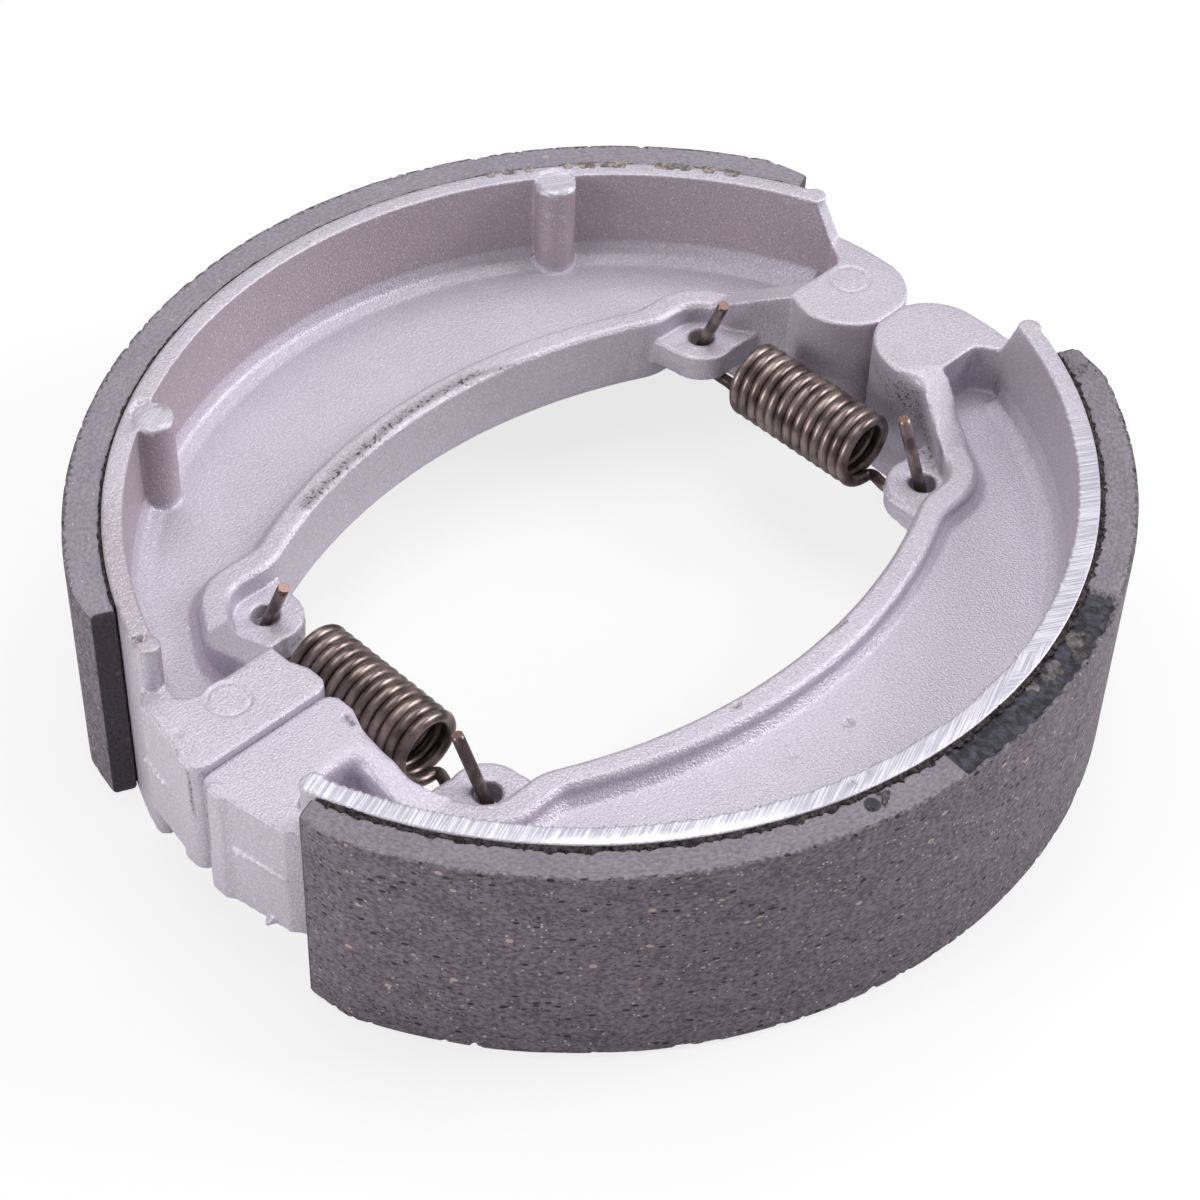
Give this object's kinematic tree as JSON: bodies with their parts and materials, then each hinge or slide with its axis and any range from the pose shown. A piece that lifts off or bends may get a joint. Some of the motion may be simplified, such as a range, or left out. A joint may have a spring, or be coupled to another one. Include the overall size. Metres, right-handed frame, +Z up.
{
  "type": "drum brake shoe set",
  "caption": "Sprung drum brake shoe set: ribbed die-cast shoes with bonded friction linings, drawn together by close-wound return springs hooked through their lugs.",
  "frame": {"origin": "on the drum's axis, midway between the centres of the two lining arcs, on the floor the set lies on", "axes": "+X from the cam end to the anchor end, +Y from the right shoe to the left shoe, +Z up along the drum's axis"},
  "size_m": [0.1003, 0.1012, 0.0253],
  "materials": {
    "casting_aluminium": "shot-blasted die casting",
    "friction_material": "moulded and ground friction composite",
    "bonding_adhesive": "cured heat-set adhesive",
    "spring_steel": "oil-tempered wire"
  },
  "bodies": {
    "left_shoe": {"left_shoe_casting": "casting_aluminium", "left_bond_line": "bonding_adhesive", "left_friction_lining": "friction_material", "anchor_end_spring": "spring_steel", "cam_end_spring": "spring_steel"},
    "right_shoe": {"right_shoe_casting": "casting_aluminium", "right_bond_line": "bonding_adhesive", "right_friction_lining": "friction_material"}
  },
  "joints": [
    {"name": "shoes_opening", "type": "hinge", "parent": "left_shoe", "child": "right_shoe", "pos_m": [0.04442, 0, 0.01265], "axis": [0, 0, 1], "range_deg": [0, 6], "stiffness_Nm_per_rad": 32, "springref_deg": -4.01, "deforming": ["anchor_end_spring", "cam_end_spring"]}
  ]
}
